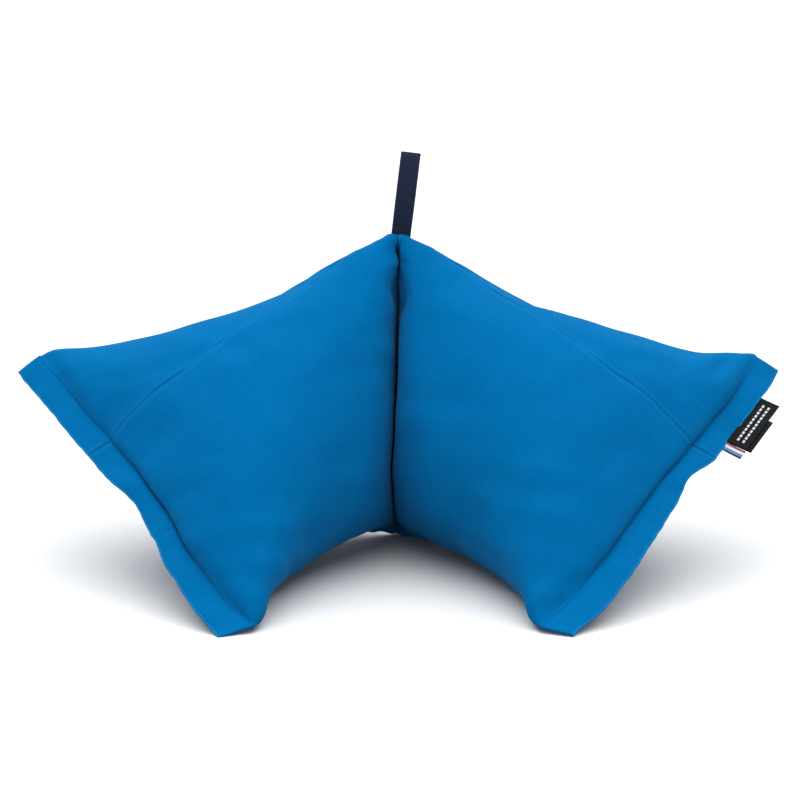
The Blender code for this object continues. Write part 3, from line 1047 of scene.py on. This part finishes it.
def sew(name, lines, pitch, thickness, material):
    """Rows of stitches along lines of points, each with the cloth's outward normals."""
    stitch, faces = model_stitch(pitch * 0.78, thickness)
    all_points, all_faces, count = [], [], 0
    for points, normals in lines:
        walked = walk(np.linalg.norm(np.diff(points, axis=0), axis=1))
        stops = np.arange(pitch / 2, walked[-1], pitch)
        place = read_along(stops, walked, points)
        ahead = read_along(stops + pitch / 3, walked, points)
        behind = read_along(stops - pitch / 3, walked, points)
        up = unit(read_along(stops, walked, normals))
        forward = unit(ahead - behind)
        up = unit(up - forward * (up * forward).sum(axis=1, keepdims=True))
        aside = np.cross(up, forward)
        for centre, x_way, y_way, z_way in zip(place, forward, aside, up):
            all_points.append(centre + stitch @ np.array([x_way, y_way, z_way]))
            all_faces.extend([[corner + count for corner in face] for face in faces])
            count += len(stitch)
    mesh = bpy.data.meshes.new(name)
    mesh.from_pydata(np.concatenate(all_points).tolist(), [], all_faces)
    mesh.shade_smooth()
    return add_object(name, mesh, material)


def stitch_line(wing, side, row, first_turn, last_turn):
    """A line over one row of a finished wing, between two turns measured from the section's top,
    with the outward normals."""
    normals = surface_normals(wing)[row]
    points = wing[row]
    turn = (column_places() + SEAM_TURN * (row > 0)) % 1.0
    order = np.argsort(turn)
    chosen = order[(turn[order] > first_turn) & (turn[order] < last_turn)]
    points, normals = points[chosen], normals[chosen]
    if side < 0:
        points, normals = mirror(points), mirror(normals)
    return points + SPINE_FOOT, normals


def band(name, path, out_way, normal_way, across_way, width, thickness, bow=None, scallop=0.0):
    """A woven band of one width, swept along a path in the plane of out_way and normal_way. Its
    two sides are slightly thinner, and scallop gives them the small waves of a selvedge. bow
    moves its points along normal_way. The UV map holds metres across and along the band."""
    path = np.array(path)
    run = np.gradient(path, axis=0)
    run /= np.linalg.norm(run, axis=1, keepdims=True)
    walked = walk(np.linalg.norm(np.diff(path, axis=0), axis=1))
    columns = max(6, int(round(width / 0.002)))
    places = np.linspace(-0.5, 0.5, columns + 1)
    thin = 1 - 0.55 * np.abs(places * 2) ** 10
    ring = np.concatenate([places, places[::-1]])
    sides = np.concatenate([thin, -thin[::-1]]) * thickness / 2
    points, uv = [], []
    for (out, normal), (run_out, run_normal), metres in zip(path, run, walked):
        wave = 1 + scallop / (width / 2) * math.sin(2 * math.pi * metres / 0.0017) * (np.abs(ring) > 0.49)
        across = ring * width * wave
        lift = normal + sides * run_out
        if bow is not None:
            lift = lift + bow(max(out, 0.0), across)
        outward = out - sides * run_normal
        points.append(
            across[:, None] * across_way + outward[:, None] * out_way + lift[:, None] * normal_way
        )
        uv.append(np.stack([ring * width, np.full(len(ring), metres)], axis=1))
    count = len(ring)
    faces = wing_faces([row * count for row in range(len(path))], count, False).tolist()
    last = (len(path) - 1) * count
    for step in range(columns):
        faces.append([step + 1, step, count - 1 - step, count - 2 - step])
        faces.append([last + step, last + step + 1, last + count - 2 - step, last + count - 1 - step])
    mesh = bpy.data.meshes.new(name)
    mesh.from_pydata(np.concatenate(points).tolist(), [], faces)
    flat = np.concatenate(uv)
    layer = mesh.uv_layers.new(name="cloth")
    corners = np.empty(len(mesh.loops), dtype=np.int32)
    mesh.loops.foreach_get("vertex_index", corners)
    layer.data.foreach_set("uv", flat[corners].ravel())
    bm = bmesh.new()
    bm.from_mesh(mesh)
    bmesh.ops.recalc_face_normals(bm, faces=bm.faces)
    bm.to_mesh(mesh)
    bm.free()
    mesh.shade_smooth()
    return mesh, walked[-1]


def loop_path():
    """The loop's middle line from the side: up one side of a slim drop, over the pressed fold at
    its top and down the other side, with both tails in the seam."""
    fold_height = LOOP_HEIGHT - WEBBING / 2 - LOOP_HALF_CLOSED
    rising = []
    for height in np.linspace(-LOOP_IN_SEAM, fold_height, 210):
        part = max(height - LOOP_TAIL, 0.0) / (LOOP_HEIGHT - LOOP_TAIL)
        half = LOOP_HALF_OPENING * math.sin(math.pi * min(part, 1.0)) ** 0.7 + LOOP_HALF_CLOSED
        rising.append((-half, height))
    rising[-1] = (-LOOP_HALF_CLOSED, fold_height)
    turns = np.linspace(math.pi, 0, 11)[1:-1]
    fold = [
        (LOOP_HALF_CLOSED * math.cos(turn), fold_height + LOOP_HALF_CLOSED * math.sin(turn))
        for turn in turns
    ]
    return rising + fold + [(-across, height) for across, height in reversed(rising)]


def folded_path(size, behind):
    """A folded label from the side: out over one layer, round the fold and back over the other.
    Each point is out from the hem's edge and along the flange's normal."""
    half = (size["layer"] + LABEL_GAP) / 2
    stops = np.linspace(-SEWN_IN, size["reach"] - half, 24)
    settle = behind * ease(stops, 0.0, 0.005)
    front = np.stack([stops, settle + half * (0.7 + 0.3 * ease(stops, 0, 0.004))], axis=1)
    turns = np.linspace(math.pi / 2, -math.pi / 2, 9)[1:-1]
    fold = np.stack([stops[-1] + half * np.cos(turns), behind + half * np.sin(turns)], axis=1)
    back = np.stack([stops, settle - half * (0.7 + 0.3 * ease(stops, 0, 0.004))], axis=1)[::-1]
    return np.concatenate([front, fold, back])


def hem_place(share):
    """The middle of the right flange's outer edge, at a share of its length from the foot."""
    reach = table_value(RIGHT_WING["edge"], np.array([share]))[0]
    return FLANGE_FOOT + (FLANGE_TOP - FLANGE_FOOT) * share + reach * FLANGE_OUT + SPINE_FOOT


def make_label(name, size, behind, bow, material, scallop=0.0):
    """A folded label or ribbon whose ends are caught between the lips of the right hem."""
    path = folded_path(size, behind)
    mesh, length = band(
        name, path, EDGE_OUT, FLANGE_NORMAL, FLANGE_UP, size["length"], size["layer"], bow, scallop
    )
    place_mesh(mesh, hem_place(size["share"]))
    item = add_object(name, mesh, material)
    return item


class CanvasSettings(bpy.types.PropertyGroup):
    """The cover's canvas and sewing."""

    colour: FloatVectorProperty(
        name="Canvas colour",
        description="Colour of the dyed canvas",
        subtype="COLOR",
        size=3,
        min=0.0,
        max=1.0,
        default=linear("#005283"),
    )
    thread_spacing: FloatProperty(
        name="Thread spacing",
        description="From thread to thread. Real canvas has 0.5 mm; 1.3 mm is as fine as shows",
        default=0.0013,
        unit="LENGTH",
    )
    seam_depth: FloatProperty(
        name="Seam depth",
        description="How deep the panel seams sink into the cloth",
        default=0.0007,
        unit="LENGTH",
    )
    pucker_depth: FloatProperty(
        name="Pucker depth",
        description="How deep the cloth puckers beside the flange stitching",
        default=0.0008,
        unit="LENGTH",
    )
    lump_height: FloatProperty(
        name="Filling lumps",
        description="How far the loose filling pushes the cloth out unevenly",
        default=0.0010,
        unit="LENGTH",
    )
    stitch_pitch: FloatProperty(
        name="Stitch length",
        description="From needle hole to needle hole",
        default=0.0032,
        unit="LENGTH",
    )
    thread: FloatProperty(
        name="Thread thickness",
        description="Thickness of the sewing thread",
        default=0.0005,
        unit="LENGTH",
    )


class LoopSettings(bpy.types.PropertyGroup):
    """The webbing loop."""

    colour: FloatVectorProperty(
        name="Webbing colour",
        description="Colour of the loop's yarn",
        subtype="COLOR",
        size=3,
        min=0.0,
        max=1.0,
        default=linear("#0C172E"),
    )
    rib_spacing: FloatProperty(
        name="Rib spacing",
        description="From rib to rib along the webbing",
        default=0.0014,
        unit="LENGTH",
    )
    selvedge: FloatProperty(
        name="Selvedge waves",
        description="How far the weft stands out at the webbing's sides",
        default=0.00018,
        unit="LENGTH",
    )


class LabelSettings(bpy.types.PropertyGroup):
    """The two woven labels and the ribbon tab."""

    label_colour: FloatVectorProperty(
        name="Label colour",
        description="Colour of both labels",
        subtype="COLOR",
        size=3,
        min=0.0,
        max=1.0,
        default=linear("#020304"),
    )
    dash_colour: FloatVectorProperty(
        name="Dash colour",
        description="Colour of the rows of dashes on the side label",
        subtype="COLOR",
        size=3,
        min=0.0,
        max=1.0,
        default=linear("#A4A7AC"),
    )
    dash_rows: FloatVectorProperty(
        name="Dash rows",
        description="How far out from the hem each row of dashes lies",
        size=2,
        default=(0.0085, 0.0145),
        unit="LENGTH",
    )
    dash_height: FloatProperty(
        name="Dash height",
        description="Size of a dash across its row",
        default=0.0022,
        unit="LENGTH",
    )
    dash_length: FloatProperty(
        name="Dash length",
        description="Size of a dash along its row",
        default=0.0034,
        unit="LENGTH",
    )
    dash_spacing: FloatProperty(
        name="Dash spacing",
        description="From dash to dash",
        default=0.0050,
        unit="LENGTH",
    )
    ribbon_red: FloatVectorProperty(
        name="Ribbon red", description="First stripe", subtype="COLOR", size=3, default=linear("#6E2A35")
    )
    ribbon_white: FloatVectorProperty(
        name="Ribbon white", description="Middle stripe", subtype="COLOR", size=3, default=linear("#A6ABBA")
    )
    ribbon_blue: FloatVectorProperty(
        name="Ribbon blue", description="Last stripe", subtype="COLOR", size=3, default=linear("#335F8A")
    )
    ribbon_edge: FloatVectorProperty(
        name="Ribbon edge", description="Both selvedges", subtype="COLOR", size=3, default=linear("#0A0E1C")
    )


class StageSettings(bpy.types.PropertyGroup):
    """Floor, light and camera."""

    floor_colour: FloatVectorProperty(
        name="Floor colour",
        description="Colour of the studio paper",
        subtype="COLOR",
        size=3,
        min=0.0,
        max=1.0,
        default=linear("#BCBDBE"),
    )
    sky: FloatProperty(
        name="Room light",
        description="Strength of the even light from all round",
        default=0.85,
    )
    top_light: FloatProperty(
        name="Top light",
        description="Strength of the light ceiling overhead, in watts a square metre",
        default=5.3,
    )
    top_angle: FloatProperty(
        name="Top light spread",
        description="How wide the light ceiling looks from the floor: more gives softer shadows",
        default=math.radians(90),
        subtype="ANGLE",
    )
    lens: FloatProperty(
        name="Lens",
        description="Focal length of the camera on a 36 mm sensor, in millimetres",
        default=112.5,
    )


class CushionSettings(bpy.types.PropertyGroup):
    """All that a user can change."""

    canvas: PointerProperty(type=CanvasSettings)
    loop: PointerProperty(type=LoopSettings)
    labels: PointerProperty(type=LabelSettings)
    stage: PointerProperty(type=StageSettings)


class MakeCover(bpy.types.Operator):
    """Make the filled canvas cover and the thread that sews it"""

    bl_idname = "cushion.make_cover"
    bl_label = "Filled cover"

    def execute(self, context):
        own = settings().canvas
        wings = finished_wings()
        cover = add_object("filled_canvas_cover", cover_mesh(wings), cotton_canvas_material())
        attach(cover, "root")
        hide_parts("cushion")

        stitched = COVER_ROWS
        topstitched = COVER_ROWS + 1 + FLANGE_STATIONS.index(TOPSTITCH_STATION)
        lines = []
        for wing, side in zip(wings, (1, -1)):
            for row in (stitched, topstitched):
                for first, last in ((0.012, 0.488), (0.512, 0.988)):
                    lines.append(stitch_line(wing, side, row, first, last))
        thread = sewing_thread_material()
        seams = sew("flange_stitching", lines, own.stitch_pitch, own.thread, thread)
        spine_line = stitch_line(wings[0], 1, 0, 0.52, 0.98)
        backward = np.tile([0.0, 1.0, 0.0], (len(spine_line[0]), 1))
        spine = sew("spine_stitching", [(spine_line[0], backward)], own.stitch_pitch, own.thread, thread)
        for item in (seams, spine):
            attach(item, "root")
        return {"FINISHED"}


class MakeLoop(bpy.types.Operator):
    """Make the webbing loop on top of the spine"""

    bl_idname = "cushion.make_loop"
    bl_label = "Webbing loop"

    def execute(self, context):
        lean_up = np.array([math.sin(LOOP_LEAN), 0.0, math.cos(LOOP_LEAN)])
        lean_across = np.array([math.cos(LOOP_LEAN), 0.0, -math.sin(LOOP_LEAN)])
        depth = np.array([0.0, 1.0, 0.0])
        path = [(height, across) for across, height in loop_path()]
        selvedge = settings().loop.selvedge
        mesh, length = band(
            "webbing_loop", path, lean_up, depth, lean_across, LOOP_WIDTH, WEBBING, scallop=selvedge
        )
        seat = SPINE_HEIGHT - 0.0004 + LOOP_WIDTH / 2 * math.sin(LOOP_LEAN)
        place_mesh(mesh, SPINE_FOOT + np.array([LOOP_OFFSET, 0.0, seat]))
        loop = add_object("webbing_loop", mesh, webbing_material())
        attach(loop, "root")
        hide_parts("carry_loop")
        return {"FINISHED"}


class MakeLabels(bpy.types.Operator):
    """Make the side label, the care label behind it and the striped ribbon tab"""

    bl_idname = "cushion.make_labels"
    bl_label = "Labels and ribbon"

    def execute(self, context):
        def side_bow(out, across):
            part = out / SIDE_LABEL["reach"]
            cup = np.cos(across / (SIDE_LABEL["length"] / 2) * 2.2)
            return LABEL_BOW * part**1.3 + LABEL_CUP * part**2 * cup

        def care_bow(out, across):
            shift = (CARE_LABEL["share"] - SIDE_LABEL["share"]) * FLANGE_LENGTH
            return side_bow(out, across + shift)

        def ribbon_bow(out, across):
            part = out / RIBBON["reach"]
            return RIBBON_BOW * part**1.5 - RIBBON_CURL * across**2 * part

        damask = label_material("black_damask_label", True)
        side = make_label("woven_side_label", SIDE_LABEL, 0.0, side_bow, damask)
        satin = label_material("black_satin_label", False)
        care = make_label("woven_care_label", CARE_LABEL, -CARE_LABEL_BEHIND, care_bow, satin)
        striped = striped_ribbon_material()
        tab = make_label("striped_ribbon_tab", RIBBON, 0.0, ribbon_bow, striped, RIBBON_SELVEDGE)
        for item, node, slot in (
            (side, "side_label", "black_label"),
            (care, "care_label", "black_label"),
            (tab, "ribbon_tab", "striped_ribbon"),
        ):
            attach(item, "root")
            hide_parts(node)
        return {"FINISHED"}


class MakeStage(bpy.types.Operator):
    """Make the floor, the studio light and the camera"""

    bl_idname = "cushion.make_stage"
    bl_label = "Stage"

    def execute(self, context):
        own = settings().stage
        clear_selection()
        bpy.ops.mesh.primitive_circle_add(vertices=96, radius=FLOOR_RADIUS, fill_type="NGON")
        floor = context.object
        floor.name = "studio_floor"
        floor.data.materials.append(studio_floor_material())

        world = bpy.data.worlds.new("studio_room")
        world.use_nodes = True
        sky = world.node_tree.nodes["Background"]
        sky.inputs["Color"].default_value = (1.0, 1.0, 1.0, 1.0)
        sky.inputs["Strength"].default_value = own.sky
        context.scene.world = world

        clear_selection()
        bpy.ops.object.light_add(type="SUN", location=(0.0, 0.0, 2.4))
        light = context.object
        light.name = "light_ceiling"
        light.data.angle = own.top_angle
        light.data.energy = own.top_light

        back = np.array([0.0, -math.cos(CAMERA_ELEVATION), math.sin(CAMERA_ELEVATION)])
        bpy.ops.object.camera_add(location=CAMERA_TARGET + back * CAMERA_DISTANCE)
        camera = context.object
        camera.rotation_mode = "QUATERNION"
        camera.rotation_quaternion = Vector(-back).to_track_quat("-Z", "Y")
        camera.data.lens = own.lens
        camera.data.sensor_width = 36.0
        camera.data.shift_x = CAMERA_SHIFT
        context.scene.camera = camera
        context.scene.view_settings.view_transform = "Standard"
        return {"FINISHED"}


class CushionPanel(bpy.types.Panel):
    """Lists the cushion's settings and its pieces"""

    bl_idname = "VIEW3D_PT_winged_cushion"
    bl_label = "Two-winged cushion"
    bl_space_type = "VIEW_3D"
    bl_region_type = "UI"
    bl_category = "Cushion"

    def draw(self, context):
        own = context.scene.winged_cushion
        for group, operators in (
            (own.canvas, (MakeCover,)),
            (own.loop, (MakeLoop,)),
            (own.labels, (MakeLabels,)),
            (own.stage, (MakeStage,)),
        ):
            box = self.layout.box()
            for name in group.__annotations__:
                box.prop(group, name)
            for operator in operators:
                box.operator(operator.bl_idname)


CLASSES = (
    CanvasSettings,
    LoopSettings,
    LabelSettings,
    StageSettings,
    CushionSettings,
    MakeCover,
    MakeLoop,
    MakeLabels,
    MakeStage,
    CushionPanel,
)


def register():
    for item in CLASSES:
        bpy.utils.register_class(item)
    bpy.types.Scene.winged_cushion = PointerProperty(type=CushionSettings)


def unregister():
    del bpy.types.Scene.winged_cushion
    for item in reversed(CLASSES):
        bpy.utils.unregister_class(item)


def main():
    """Makes every piece and the stage."""
    register()
    bpy.ops.cushion.make_cover()
    bpy.ops.cushion.make_loop()
    bpy.ops.cushion.make_labels()
    bpy.ops.cushion.make_stage()


if __name__ == "__main__":
    main()
